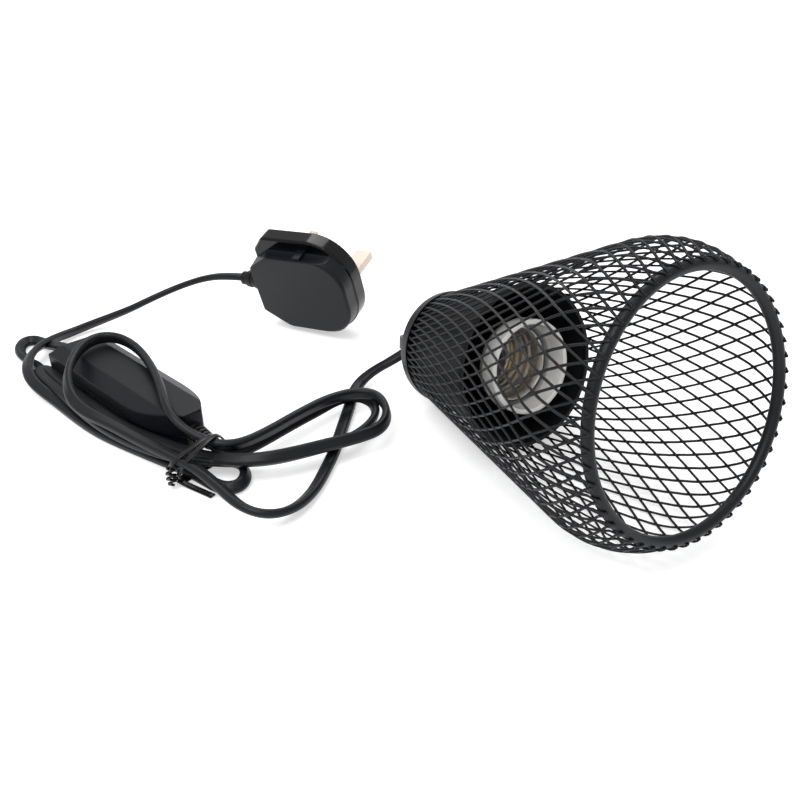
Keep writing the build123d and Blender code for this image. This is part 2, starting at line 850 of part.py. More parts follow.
waist_depth = plug_depth - plug_rim
with BuildPart() as plug_cover:
    with BuildSketch(plug_level(0)):
        with BuildLine():
            nosed_outline(
                hand_length,
                hand_width,
                hand_nose_width,
                hand_nose_length,
                nose_round,
                hand_shoulder_round,
                hand_round,
            )
        make_face()
    with BuildSketch(plug_level(waist_depth)):
        with BuildLine():
            nosed_outline(
                hand_length,
                hand_width + hand_flare,
                hand_nose_width + hand_flare,
                hand_nose_length,
                nose_round,
                hand_shoulder_round,
                hand_round + hand_flare / 4,
            )
        make_face()
    loft()
    chamfer(plug_cover.faces().sort_by(Axis(plug.origin, plug.z_dir))[0].edges(), 0.9)
    scoop_drop = hand_width / 2 + grip_scoop_radius - grip_scoop_depth
    with BuildSketch(Plane(origin=plug.origin, x_dir=plug.y_dir, z_dir=plug.x_dir)):
        with Locations((scoop_drop, waist_depth * 0.55), (-scoop_drop, waist_depth * 0.55)):
            Circle(grip_scoop_radius)
    extrude(amount=hand_length + 5, mode=Mode.SUBTRACT)
    with BuildSketch(plug_level(0.9)):
        with Locations((28.0, 0)):
            Rectangle(grip_ridge, hand_width)
    extrude(amount=waist_depth - 0.9)
plug_cover.part.label = "plug_cover"
export_step(plug_cover.part, "parts/plug_cover.step")

line_places = [(line_place, line_spread / 2), (line_place, -line_spread / 2)]
with BuildPart() as plug_base:
    with BuildSketch(plug_level(waist_depth)):
        with BuildLine():
            nosed_outline(
                rim_length,
                rim_width,
                rim_nose_width,
                rim_nose_length,
                nose_round,
                rim_shoulder_round,
                rim_round,
            )
        make_face()
    extrude(amount=plug_rim)
    chamfer(plug_base.faces().sort_by(Axis(plug.origin, plug.z_dir))[0].edges(), 0.8)
    with BuildSketch(plug_level(plug_depth)):
        with Locations((carrier_place, 0)):
            Rectangle(carrier_size[0] + 2 * carrier_clearance, carrier_size[1] + 2 * carrier_clearance)
    extrude(amount=-carrier_depth - carrier_clearance, mode=Mode.SUBTRACT)
    with BuildSketch(plug_level(plug_depth)):
        with Locations((earth_place, 0)):
            Rectangle(earth_size[0] + 2 * pin_clearance, earth_size[1] + 2 * pin_clearance)
        with Locations(*line_places):
            Rectangle(line_size[0] + 2 * pin_clearance, line_size[1] + 2 * pin_clearance)
    extrude(amount=-pin_seat, mode=Mode.SUBTRACT)
plug_base.part.label = "plug_base"
export_step(plug_base.part, "parts/plug_base.step")


# Pins seated in the rim; the two line pins have a sleeve next to the face.
with BuildPart() as earth_pin:
    with BuildSketch(plug_level(plug_depth - pin_seat)):
        with Locations((earth_place, 0)):
            Rectangle(*earth_size)
    extrude(amount=pin_seat + earth_length)
    chamfer(earth_pin.faces().sort_by(Axis(plug.origin, plug.z_dir))[-1].edges(), pin_tip)
earth_pin.part.label = "earth_pin"
export_step(earth_pin.part, "parts/earth_pin.step")

with BuildPart() as live_pin:
    with BuildSketch(plug_level(plug_depth - pin_seat)):
        with Locations(line_places[0]):
            Rectangle(line_size[0] - 2 * sleeve_wall, line_size[1] - 2 * sleeve_wall)
    extrude(amount=pin_seat + sleeve_length)
    with BuildSketch(plug_level(plug_depth + sleeve_length)):
        with Locations(line_places[0]):
            Rectangle(*line_size)
    extrude(amount=line_length - sleeve_length)
    chamfer(live_pin.faces().sort_by(Axis(plug.origin, plug.z_dir))[-1].edges(), pin_tip)
live_pin.part.label = "live_pin"
export_step(live_pin.part, "parts/live_pin.step")

with BuildPart() as neutral_pin:
    with BuildSketch(plug_level(plug_depth - pin_seat)):
        with Locations(line_places[1]):
            Rectangle(line_size[0] - 2 * sleeve_wall, line_size[1] - 2 * sleeve_wall)
    extrude(amount=pin_seat + sleeve_length)
    with BuildSketch(plug_level(plug_depth + sleeve_length)):
        with Locations(line_places[1]):
            Rectangle(*line_size)
    extrude(amount=line_length - sleeve_length)
    chamfer(neutral_pin.faces().sort_by(Axis(plug.origin, plug.z_dir))[-1].edges(), pin_tip)
neutral_pin.part.label = "neutral_pin"
export_step(neutral_pin.part, "parts/neutral_pin.step")

with BuildPart() as pin_sleeves:
    with BuildSketch(plug_level(plug_depth - pin_seat)):
        with Locations(*line_places):
            Rectangle(*line_size)
            Rectangle(line_size[0] - 2 * sleeve_wall, line_size[1] - 2 * sleeve_wall, mode=Mode.SUBTRACT)
    extrude(amount=pin_seat + sleeve_length)
pin_sleeves.part.label = "pin_sleeves"
export_step(pin_sleeves.part, "parts/pin_sleeves.step")


# Fuse carrier in the pin face, with a slot to lift it by.
with BuildPart() as fuse_carrier:
    with BuildSketch(plug_level(plug_depth)):
        with Locations((carrier_place, 0)):
            Rectangle(*carrier_size)
    extrude(amount=-carrier_depth)
    with BuildSketch(plug_level(plug_depth)):
        with Locations((carrier_place, carrier_size[1] / 2 - 2.0)):
            Rectangle(carrier_size[0] * 0.6, 1.2)
    extrude(amount=-0.8, mode=Mode.SUBTRACT)
fuse_carrier.part.label = "fuse_carrier"
export_step(fuse_carrier.part, "parts/fuse_carrier.step")


# Collar where the cord leaves the plug.
collar_centre = plug.origin + plug.z_dir * (plug_depth / 2)
collar_plane = Plane(origin=collar_centre, x_dir=-plug.x_dir, z_dir=plug.y_dir)
collar_steps = [
    (0, 0),
    (0, collar_radius),
    (collar_length * 0.3, collar_radius),
    (collar_length * 0.34, collar_radius - 0.9),
    (collar_length * 0.5, collar_radius - 0.9),
    (collar_length * 0.54, collar_radius - 0.4),
    (collar_length * 0.72, collar_radius - 0.5),
    (collar_length * 0.76, collar_end_radius - 0.3),
    (collar_length * 0.86, collar_end_radius - 0.3),
    (collar_length * 0.9, collar_end_radius),
    (collar_length, collar_end_radius),
    (collar_length, 0),
]
with BuildPart() as plug_collar:
    with BuildSketch(collar_plane):
        Polygon(*collar_steps, align=None)
    revolve(axis=Axis(collar_plane.origin, collar_plane.x_dir))
plug_collar.part.label = "plug_collar"
export_step(plug_collar.part, "parts/plug_collar.step")


# Plug cord, from the collar round to the left end of the bundle.
collar_exit = collar_plane.origin + collar_plane.x_dir * (collar_length + 0.05)
collar_turn = collar_plane.origin + collar_plane.x_dir * (collar_length + 9.0)
plug_route = [
    (collar_exit.X, collar_exit.Y, collar_exit.Z),
    (collar_turn.X, collar_turn.Y, collar_turn.Z),
    (-191.9, -54.4, 18.8),
    (-199.6, -65.9, 14.9),
    (-203.9, -79.0, 10.1),
    (-204.8, -93.0, 5.8),
    (-201.4, -107.4, 4.2),
    (-196.6, -120.0, 5.2),
    (-191.0, -130.6, 7.8),
    (-183.4, -140.6, 8.0),
    (-171.3, -147.1, 6.8),
]
plug_radii = bend_radii(plug_route)
with BuildPart() as plug_cord:
    with BuildLine() as plug_line:
        FilletPolyline(*plug_route, radius=plug_radii)
    with BuildSketch(Plane(origin=plug_line.line @ 0, z_dir=plug_line.line % 0)):
        Circle(cord_thickness / 2)
    sweep()
plug_cord.part.label = "plug_cord"
export_step(plug_cord.part, "parts/plug_cord.step")
tell_cord("plug cord", plug_line, plug_radii)
print("guard centre", round(centre_x, 3), round(centre_height, 3), "lies at", round(degrees(lie_angle), 3))
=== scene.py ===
import json
import bpy
import numpy as np
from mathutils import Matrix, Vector


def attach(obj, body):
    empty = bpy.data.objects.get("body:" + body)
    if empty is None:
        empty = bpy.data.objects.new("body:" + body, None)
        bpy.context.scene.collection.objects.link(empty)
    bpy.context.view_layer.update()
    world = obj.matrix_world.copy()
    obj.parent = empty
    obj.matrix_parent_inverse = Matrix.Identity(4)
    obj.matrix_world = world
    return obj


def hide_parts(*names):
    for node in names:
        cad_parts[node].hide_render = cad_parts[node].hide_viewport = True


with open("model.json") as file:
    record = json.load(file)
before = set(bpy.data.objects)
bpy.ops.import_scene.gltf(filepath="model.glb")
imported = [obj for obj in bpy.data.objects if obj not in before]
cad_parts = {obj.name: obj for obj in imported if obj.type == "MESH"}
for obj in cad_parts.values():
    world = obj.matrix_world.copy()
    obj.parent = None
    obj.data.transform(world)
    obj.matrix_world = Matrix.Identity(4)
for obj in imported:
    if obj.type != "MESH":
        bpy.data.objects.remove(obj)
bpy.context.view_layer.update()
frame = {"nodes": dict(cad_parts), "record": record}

mm = 0.001
nodes = frame["nodes"]
print("frame loaded:", len(nodes), "nodes")


def addObject(name, data):
    made = bpy.data.objects.new(name, data)
    bpy.context.scene.collection.objects.link(made)
    return made


def aimObject(item, place, target):
    item.location = place
    item.rotation_mode = "QUATERNION"
    item.rotation_quaternion = (Vector(target) - Vector(place)).to_track_quat("-Z", "Y")


# The camera stands where the picture was taken, a little above the table.
view = {
    "eye": (0.1929, -0.1834, 0.1722), "target": (-0.0595, -0.01985, 0.0),
    "lens": 36.9, "sensor": 36.0, "nearest": 0.01,
}


def makeCamera():
    camera = addObject("camera", bpy.data.cameras.new("camera"))
    aimObject(camera, view["eye"], view["target"])
    camera.data.lens = view["lens"]
    camera.data.sensor_width = view["sensor"]
    camera.data.clip_start = view["nearest"]
    bpy.context.scene.camera = camera


makeCamera()


def gridQuads(rows, columns, wrapRows=False):
    # Four corners of each cell of a grid whose columns close on themselves, and its rows too where asked
    lastRow = rows if wrapRows else rows - 1
    row, column = np.meshgrid(np.arange(lastRow), np.arange(columns), indexing="ij")
    nextRow = (row + 1) % rows
    nextColumn = (column + 1) % columns
    corners = [row * columns + column, row * columns + nextColumn]
    corners += [nextRow * columns + nextColumn, nextRow * columns + column]
    return np.stack(corners, -1).reshape(-1, 4)


def makePiece(name, points, faces, material):
    mesh = bpy.data.meshes.new(name)
    mesh.from_pydata(points.reshape(-1, 3).tolist(), [], faces)
    mesh.validate()
    mesh.shade_smooth()
    piece = addObject(name, mesh)
    mesh.materials.append(material)
    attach(piece, "root")
    return piece


def splineLine(points, steps=8, closed=False):
    # A smooth spline pulled along by the route's points, which are in millimetres; its own are in metres
    curve = bpy.data.curves.new("route", "CURVE")
    curve.dimensions = "3D"
    spline = curve.splines.new("NURBS")
    spline.points.add(len(points) - 1)
    places = np.c_[np.array(points, float) * mm, np.ones(len(points))]
    spline.points.foreach_set("co", places.ravel())
    spline.order_u = 3
    spline.use_endpoint_u = not closed
    spline.use_cyclic_u = closed
    spline.resolution_u = steps
    holder = addObject("route", curve)
    mesh = bpy.data.meshes.new_from_object(holder)
    line = np.empty(len(mesh.vertices) * 3)
    mesh.vertices.foreach_get("co", line)
    bpy.data.objects.remove(holder)
    bpy.data.meshes.remove(mesh)
    return line.reshape(-1, 3)


def unit(vectors):
    return vectors / np.linalg.norm(vectors, axis=-1, keepdims=True)


def ovalSection(width, gauge, corner, around):
    # A rounded oval: cosine and sine to the power corner, which squares it off as it gets smaller
    turn = np.linspace(0, 2 * np.pi, around, endpoint=False)
    across = np.sign(np.cos(turn)) * np.abs(np.cos(turn)) ** corner * width / 2
    height = np.sign(np.sin(turn)) * np.abs(np.sin(turn)) ** corner * gauge / 2
    return np.c_[across, height]


def sweptPoints(line, profile, roll=None, closed=False, lean=(0.0, 0.0, 1.0)):
    # Profile point (a, b) stands a along the side and b along the normal, both turned by roll about the line
    if closed:
        along = unit(np.roll(line, -1, 0) - np.roll(line, 1, 0))
    else:
        along = unit(np.gradient(line, axis=0))
    side = unit(np.cross(along, np.array(lean)))
    normal = np.cross(side, along)
    turn = np.zeros(len(line)) if roll is None else np.radians(roll)
    sideTurned = side * np.cos(turn)[:, None] + normal * np.sin(turn)[:, None]
    normalTurned = normal * np.cos(turn)[:, None] - side * np.sin(turn)[:, None]
    aside, above = profile[None, :, :1], profile[None, :, 1:]
    return line[:, None] + sideTurned[:, None] * aside + normalTurned[:, None] * above


def sweptPiece(name, line, profile, material, roll=None, closed=False, lean=(0.0, 0.0, 1.0)):
    points = sweptPoints(line, profile, roll, closed, lean)
    count = points.shape[1]
    faces = gridQuads(len(line), count, closed)[:, ::-1].tolist()
    if not closed:
        # One flat face on each end
        lastRing = (len(line) - 1) * count
        faces.append(list(range(count)))
        faces.append(list(range(lastRing + count - 1, lastRing - 1, -1)))
    return makePiece(name, points, faces, material)


def addNode(tree, kind, **settings):
    node = tree.nodes.new("ShaderNode" + kind)
    for key, value in settings.items():
        if key in node.inputs:
            node.inputs[key].default_value = value
        else:
            setattr(node, key, value)
    return node


# What all finishes share: the noises, and how far they move tint, roughness and bump.
surface = {
    "broadScale": 90.0, "broadDetail": 3.0, "fineDetail": 4.0, "fineRoughness": 0.6, "tintFrom": 0.3,
    "tintTo": 0.7, "roughSpread": 1.2, "bumpStrength": 0.35, "coatRoughness": 0.08, "edgeSamples": 6,
}


def finish(
    name, colour, roughness, grain=600.0, grainDepth=0.02, wear=0.06, metal=0.0, specular=0.5, coat=0.0,
    soften=0.0,
):
    # Colour drifts with a broad noise and roughness with a fine one, which also gives the grain its bump
    material = bpy.data.materials.new(name)
    material.use_nodes = True
    tree = material.node_tree
    shader = tree.nodes["Principled BSDF"]
    shader.inputs["Metallic"].default_value = metal
    shader.inputs["Specular IOR Level"].default_value = specular
    shader.inputs["Coat Weight"].default_value = coat
    shader.inputs["Coat Roughness"].default_value = surface["coatRoughness"]
    place = addNode(tree, "TexCoord")
    broad = addNode(tree, "TexNoise", Scale=surface["broadScale"], Detail=surface["broadDetail"])
    fine = addNode(
        tree, "TexNoise", Scale=grain, Detail=surface["fineDetail"], Roughness=surface["fineRoughness"],
    )
    tree.links.new(place.outputs["Object"], broad.inputs["Vector"])
    tree.links.new(place.outputs["Object"], fine.inputs["Vector"])
    tint = addNode(tree, "ValToRGB")
    darker, lighter = tint.color_ramp.elements
    darker.position = surface["tintFrom"]
    lighter.position = surface["tintTo"]
    darker.color = tuple(value * (1 - wear) for value in colour) + (1.0,)
    lighter.color = tuple(min(1.0, value * (1 + wear)) for value in colour) + (1.0,)
    tree.links.new(broad.outputs["Fac"], tint.inputs["Fac"])
    tree.links.new(tint.outputs["Color"], shader.inputs["Base Color"])
    spread = surface["roughSpread"] * wear
    rough = addNode(tree, "MapRange")
    rough.inputs["To Min"].default_value = roughness * (1 - spread)
    rough.inputs["To Max"].default_value = min(1.0, roughness * (1 + spread))
    tree.links.new(fine.outputs["Fac"], rough.inputs["Value"])
    tree.links.new(rough.outputs["Result"], shader.inputs["Roughness"])
    bump = addNode(tree, "Bump", Strength=surface["bumpStrength"], Distance=grainDepth * mm)
    tree.links.new(fine.outputs["Fac"], bump.inputs["Height"])
    tree.links.new(bump.outputs["Normal"], shader.inputs["Normal"])
    if soften:
        # Edges take the light as if they were rounded by this many millimetres
        rounded = addNode(tree, "Bevel", samples=surface["edgeSamples"], Radius=soften * mm)
        tree.links.new(rounded.outputs["Normal"], bump.inputs["Normal"])
    return material


sheathBlack = finish("sheathBlack", (0.008, 0.0088, 0.0115), 0.42, 900.0, 0.03, 0.12, specular=0.28)
tieBlack = finish("tieBlack", (0.004, 0.004, 0.005), 0.26, 1500.0, 0.02, specular=0.35)
cagePaint = finish("cagePaint", (0.007, 0.0078, 0.0102), 0.42, 1400.0, 0.03, 0.15, specular=0.27)
print("cord and cage finishes made")


# Flex: two runs of an oval twin flex, laid as in the picture. Sizes and route points are in millimetres.
flex = {
    "width": 4.9, "thickness": 3.2, "corner": 0.7, "groove": 0.1, "grooveWidth": 0.6, "around": 28,
    "overTable": 0.05,
}

lampRoute = [
    (-64.86, 0.0, 19.39), (-68.4, -0.2, 18.5), (-70.8, -4.2, 17.0), (-71.4, -10.5, 14.4),
    (-73.0, -16.2, 11.4), (-75.8, -20.8, 8.2), (-77.4, -25.2, 5.2), (-77.0, -29.4, 2.9),
    (-73.2, -34.4, 1.95), (-64.5, -41.3, 1.9), (-55.2, -48.9, 1.9), (-47.0, -55.7, 1.9),
    (-36.0, -64.9, 1.9), (-29.3, -71.5, 1.9), (-23.3, -77.4, 1.9), (-18.2, -83.4, 2.1),
    (-13.4, -90.5, 3.0), (-10.9, -97.3, 4.4), (-11.4, -103.1, 5.7), (-15.0, -107.4, 6.6),
    (-21.4, -110.0, 7.2), (-31.1, -111.2, 7.6), (-41.8, -113.2, 8.2), (-48.9, -115.6, 8.9),
    (-57.9, -119.6, 9.3), (-73.2, -125.7, 9.6), (-88.5, -131.4, 10.2), (-97.0, -135.4, 10.8),
    (-103.6, -137.9, 11.4), (-109.6, -139.2, 12.3), (-115.6, -139.3, 13.7), (-121.6, -138.3, 15.5),
    (-127.4, -136.2, 17.3), (-133.2, -132.9, 18.7), (-139.6, -128.6, 19.4), (-145.6, -122.6, 19.6),
    (-147.2, -115.8, 19.4), (-142.0, -109.8, 19.0), (-127.3, -106.6, 18.8), (-105.7, -107.6, 18.9),
    (-88.4, -110.3, 19.1), (-76.6, -112.7, 18.7), (-69.0, -113.0, 17.0), (-63.8, -111.0, 14.2),
    (-58.6, -107.4, 11.8), (-53.6, -103.6, 10.5), (-51.0, -99.6, 9.9), (-50.0, -93.6, 9.6),
    (-52.8, -82.6, 9.3), (-57.9, -68.0, 9.3), (-62.0, -52.8, 9.3), (-60.8, -39.4, 9.3),
    (-52.9, -33.8, 9.3), (-39.9, -37.8, 9.3), (-31.6, -46.0, 9.3), (-31.0, -56.9, 9.3),
    (-33.0, -70.9, 9.3), (-34.8, -83.1, 9.2), (-37.6, -92.9, 9.0), (-43.0, -100.4, 8.2),
    (-54.0, -108.2, 6.2), (-66.0, -114.4, 5.6), (-80.0, -121.4, 5.6), (-93.0, -126.8, 5.6),
    (-112.0, -131.4, 5.6), (-133.0, -135.6, 5.6), (-147.0, -138.0, 5.6), (-156.2, -139.4, 5.6),
    (-159.4, -142.0, 5.6), (-155.6, -144.2, 5.6), (-146.0, -142.4, 5.6), (-132.0, -139.4, 5.6),
    (-108.0, -135.8, 5.6), (-90.0, -131.2, 5.6), (-74.0, -124.6, 5.6), (-62.0, -118.0, 5.6),
    (-52.0, -109.0, 5.6), (-42.6, -96.6, 5.6), (-38.4, -85.8, 5.6), (-37.0, -73.9, 5.6),
    (-36.2, -63.3, 5.6), (-37.9, -53.4, 5.6), (-42.2, -44.3, 5.6), (-48.8, -37.9, 5.6),
    (-57.0, -35.2, 5.6), (-64.2, -38.0, 5.6), (-66.2, -45.4, 5.6), (-62.4, -57.1, 5.6),
    (-58.6, -70.3, 5.6), (-54.2, -83.4, 5.6), (-51.6, -92.1, 5.7), (-51.4, -98.2, 6.2),
    (-53.4, -101.4, 7.1), (-56.4, -102.2, 7.4), (-59.83, -102.91, 7.4),
]

plugRoute = [
    (-167.6, -127.57, 7.4), (-172.6, -128.9, 7.3), (-178.2, -131.0, 6.2), (-186.0, -133.2, 4.2),
    (-192.8, -134.4, 2.8), (-199.2, -136.6, 1.9), (-200.4, -141.2, 1.9), (-194.6, -145.0, 1.9),
    (-185.5, -146.0, 1.9), (-178.4, -144.2, 1.9), (-172.0, -141.8, 1.9), (-160.0, -141.0, 1.9),
    (-146.0, -138.6, 1.9), (-124.0, -133.5, 1.9), (-100.0, -128.0, 1.9), (-82.0, -121.6, 1.9),
    (-69.4, -114.2, 1.9), (-60.0, -108.2, 1.9), (-53.6, -101.4, 1.9), (-47.6, -96.8, 1.9),
    (-40.6, -97.6, 1.9), (-35.8, -101.9, 1.9), (-36.3, -106.4, 1.9), (-40.2, -109.2, 1.9),
    (-46.4, -111.0, 1.9), (-56.0, -114.2, 1.9), (-71.6, -121.9, 1.9), (-92.6, -131.6, 1.9),
    (-104.0, -135.6, 1.9), (-116.6, -138.8, 2.0), (-130.5, -142.2, 2.8), (-138.8, -145.4, 4.6),
    (-146.4, -147.8, 6.2), (-154.6, -148.2, 7.2), (-163.4, -146.8, 7.6), (-172.0, -143.6, 7.6),
    (-181.0, -138.4, 6.8), (-190.4, -130.4, 4.6), (-197.4, -121.1, 2.8), (-200.4, -111.6, 3.2),
    (-200.6, -100.3, 5.0), (-201.2, -89.9, 6.6), (-201.6, -79.6, 9.2), (-200.4, -69.2, 12.2),
    (-196.4, -60.4, 15.6), (-190.0, -53.2, 19.0), (-181.6, -46.4, 21.6), (-171.7, -39.25, 22.6),
]

# Turn of the flat flex about its own line: number of the route's point, degrees.
lampRoll = [
    (0, 0), (6, 0), (10, -10), (15, -30), (19, -45), (23, -20), (26, 0), (30, 50), (34, 80), (39, 80),
    (43, 50), (48, 70), (52, 80), (57, 60), (61, 10), (66, 0), (74, 0), (78, 40), (84, 80), (90, 60),
    (94, 0),
]
plugRoll = [
    (0, 0), (4, 40), (8, 40), (12, 0), (16, 20), (20, 60), (24, 20), (28, 0), (34, 30), (38, 60),
    (42, 30), (47, 0),
]


def flexSection():
    # The oval, thinned along its middle by a bell curve of its own width
    across, height = ovalSection(flex["width"], flex["thickness"], flex["corner"], flex["around"]).T
    height = height * (1 - flex["groove"] * np.exp(-((across / flex["grooveWidth"]) ** 2)))
    return np.c_[across, height] * mm


def makeCord(name, route, rollAt, stands):
    line = splineLine(route)
    place = np.linspace(0, len(route) - 1, len(line))
    roll = np.interp(place, *np.array(rollAt, float).T)
    # Where the turned section would reach under the table, the line is lifted by as much
    lowest = sweptPoints(line, flexSection(), roll)[..., 2].min(axis=1)
    line[:, 2] += np.maximum(0.0, flex["overTable"] * mm - lowest)
    cord = sweptPiece(name, line, flexSection(), sheathBlack, roll)
    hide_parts(*stands)


# Twisted wire tie: two turns of flat band round the bundle, a wrung knot and a loose tail.
tie = {
    "band": (2.2, 0.8), "bandRoll": 90.0, "bandLean": (1.0, 0.1, 0.0), "tail": (2.6, 0.7),
    "corner": 0.5, "around": 16, "knotWire": (1.25, 0.95), "knotTop": (-53.0, -121.2, 7.0),
    "knotFoot": (-49.4, -122.2, 2.0), "knotRadius": 1.35, "knotTurns": 3.4, "knotEnds": 0.55,
    "knotSteps": 160,
}
tieLoop = [
    (-53.4, -121.6, 4.6), (-52.6, -121.0, 8.2), (-51.4, -118.4, 11.2), (-52.0, -112.9, 12.6),
    (-54.8, -107.6, 13.2), (-57.4, -103.4, 12.6), (-58.8, -100.4, 9.0), (-58.8, -99.6, 4.0),
    (-58.0, -102.0, 0.6), (-56.0, -108.0, 0.45), (-54.6, -115.0, 0.45), (-53.8, -119.8, 0.9),
]
tieSecondLoop = [
    (-50.2, -119.6, 4.4), (-49.0, -118.6, 8.0), (-47.8, -115.8, 11.6), (-49.0, -111.6, 13.2),
    (-52.2, -106.4, 13.9), (-55.4, -101.9, 13.2), (-57.2, -98.8, 9.0), (-57.4, -98.2, 4.0),
    (-57.0, -101.0, 0.7), (-55.2, -108.0, 0.5), (-52.8, -114.0, 0.5), (-51.0, -118.0, 0.9),
]
tieTail = [
    (-51.0, -119.4, 2.2), (-49.4, -118.2, 1.4), (-47.0, -116.6, 0.8), (-42.6, -114.4, 0.6),
    (-37.3, -112.1, 0.7),
]


def tieSection(size):
    return ovalSection(*size, tie["corner"], tie["around"]) * mm


def makeTie():
    made = []
    band = tieSection(tie["band"])
    for name, route in (("tieBand", tieLoop), ("tieBandSecond", tieSecondLoop)):
        line = splineLine(route, closed=True)
        flat = np.full(len(line), tie["bandRoll"])
        made.append(sweptPiece(name, line, band, tieBlack, flat, True, tie["bandLean"]))
    # The knot is a coil down a slanting line, its radius swelling to the middle by half a sine wave
    share = np.linspace(0, 1, tie["knotSteps"])[:, None]
    top, foot = np.array(tie["knotTop"]), np.array(tie["knotFoot"])
    slant = (foot - top) / np.linalg.norm(foot - top)
    first = unit(np.cross(slant, (1.0, 0.0, 0.0)))
    second = np.cross(slant, first)
    turn = share * tie["knotTurns"] * 2 * np.pi
    reach = tie["knotRadius"] * (tie["knotEnds"] + (1 - tie["knotEnds"]) * np.sin(np.pi * share))
    knotLine = (top + share * (foot - top) + reach * (np.cos(turn) * first + np.sin(turn) * second)) * mm
    wire = tieSection(tie["knotWire"])
    made.append(sweptPiece("tieKnot", knotLine, wire, tieBlack, lean=slant))
    tail = tieSection(tie["tail"])
    made.append(sweptPiece("tieTail", splineLine(tieTail), tail, tieBlack))
    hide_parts("cord_tie")
    return made


tiePieces = makeTie()
makeCord(
    "lampCord", lampRoute, lampRoll, ["lamp_cord", "cord_bundle", "big_loops", "top_loop"],
)
makeCord(
    "plugCord", plugRoute, plugRoll, ["left_loop", "small_loop", "plug_cord"],
)
print("cords laid and tied")


# The guard's axis, found from the lamp's socket, whose mount lies this many millimetres up it.
socketHeight = 35.35
socket = next(mount for mount in frame["record"]["mounts"] if mount["name"] == "lamp_socket")
axis = np.array(socket["axis"]) / np.linalg.norm(socket["axis"])
upward = np.array([-axis[2], 0.0, axis[0]])
sideways = np.cross(axis, upward)
guardFoot = np.array(socket["pos_m"]) - axis * socketHeight * mm


def spokeAt(turn):
    return upward * np.cos(turn)[..., None] + sideways * np.sin(turn)[..., None]


def onGuard(radius, turn, height):
    # A point at that radius, turn and height about the guard's axis, millimetres in and metres out
    return guardFoot + axis * (height * mm)[..., None] + spokeAt(turn) * (radius * mm)[..., None]


# Wire guard: strands that spiral both ways from the plate to the mouth, on the solid's cone and shoulder.
cage = {
    "columns": 52, "rows": 20, "easing": 0.12, "perRow": 6, "footRadius": 21.47, "coneLength": 103.0,
    "shoulderRadius": 48.0, "bend": 23.9, "ringDistance": 22.53, "ringAngle": 43.2, "ringWire": 3.8,
    "shoulderShort": 4.8, "lapBack": 60.0, "lapEnd": 62.0, "start": 0.8, "width": 0.88, "depth": 0.76,
    "corners": 6, "layer": 0.1, "sway": 0.018, "knuckle": 0.14, "knucklePower": 6,
}


def wallLine(travel):
    # Along the wall: a straight cone, the shoulder's arc, then an arc over the outside of the mouth ring
    slope = np.arctan((cage["shoulderRadius"] - cage["footRadius"]) / cage["coneLength"])
    straight = cage["coneLength"] / np.cos(slope)
    middle = cage["depth"] / 2
    bend = cage["bend"] - middle
    bendRadius = cage["shoulderRadius"] - cage["bend"] * np.cos(slope)
    bendHeight = cage["coneLength"] + cage["bend"] * np.sin(slope)
    ringTurn = np.radians(cage["ringAngle"])
    ringRadius = bendRadius + cage["ringDistance"] * np.cos(ringTurn)
    ringHeight = bendHeight + cage["ringDistance"] * np.sin(ringTurn)
    lap = cage["ringWire"] / 2 + middle
    lapStart = ringTurn - np.radians(cage["lapBack"])
    shoulderEnd = np.radians(cage["ringAngle"] - cage["shoulderShort"])
    arc = bend * (slope + shoulderEnd)
    whole = straight + arc + lap * (np.radians(cage["lapEnd"]) - lapStart)
    travel = travel * (whole - cage["start"]) + cage["start"]
    lean = np.where(travel < straight, -slope, (travel - straight) / bend - slope)
    lean = np.where(travel > straight + arc, (travel - straight - arc) / lap + lapStart, lean)
    radius = np.where(
        travel < straight,
        cage["footRadius"] + travel * np.sin(slope) - middle * np.cos(slope),
        bendRadius + bend * np.cos(lean),
    )
    height = np.where(
        travel < straight, travel * np.cos(slope) + middle * np.sin(slope), bendHeight + bend * np.sin(lean)
    )
    onRing = travel > straight + arc
    radius = np.where(onRing, ringRadius + lap * np.cos(lean), radius)
    height = np.where(onRing, ringHeight + lap * np.sin(lean), height)
    return radius, height, lean


def makeCage():
    # A strand turns by half a column each row and crosses the other family there, where its paint is thicker
    rowNumber = np.linspace(0, cage["rows"], cage["rows"] * cage["perRow"] + 1)
    share = rowNumber / cage["rows"]
    radius, height, lean = wallLine(share * (1 + cage["easing"]) - cage["easing"] * share**2)
    step = np.pi / cage["columns"]
    start = np.arange(cage["columns"])[:, None] * 2 * step
    sway = cage["sway"] * step * np.sin(2 * np.pi * rowNumber)
    lines, outwards = [], []
    for way in (1, -1):
        turn = start + way * (step * rowNumber + sway)[None]
        liftedRadius = np.broadcast_to(radius + way * cage["layer"] * np.cos(lean), turn.shape)
        liftedHeight = np.broadcast_to(height + way * cage["layer"] * np.sin(lean), turn.shape)
        lines.append(onGuard(liftedRadius, turn, liftedHeight))
        outwards.append(spokeAt(turn) * np.cos(lean)[None, :, None] + axis * np.sin(lean)[None, :, None])
    line = np.concatenate(lines)
    outward = np.concatenate(outwards)
    along = unit(np.gradient(line, axis=1))
    side = unit(np.cross(outward, along))
    corner = np.radians((np.arange(cage["corners"]) + 0.5) * 360 / cage["corners"])
    thicker = cage["knuckle"] * np.cos(np.pi * rowNumber) ** cage["knucklePower"]
    width = cage["width"] / 2 * (1 + thicker) * mm
    points = (
        line[:, :, None]
        + side[:, :, None] * (width[None, :, None] * np.cos(corner))[..., None]
        + outward[:, :, None] * (cage["depth"] / 2 * mm * np.sin(corner))[None, None, :, None]
    )
    strands, rings, around = points.shape[:3]
    quads = gridQuads(rings, around)
    first = np.arange(strands) * rings * around
    faces = (quads[None] + first[:, None, None]).reshape(-1, 4).tolist()
    faces += (first[:, None] + np.arange(around)[::-1]).tolist()
    faces += (first[:, None] + (rings - 1) * around + np.arange(around)).tolist()
    piece = makePiece("wireGuard", points, faces, cagePaint)
    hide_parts("mesh_guard")
    return piece


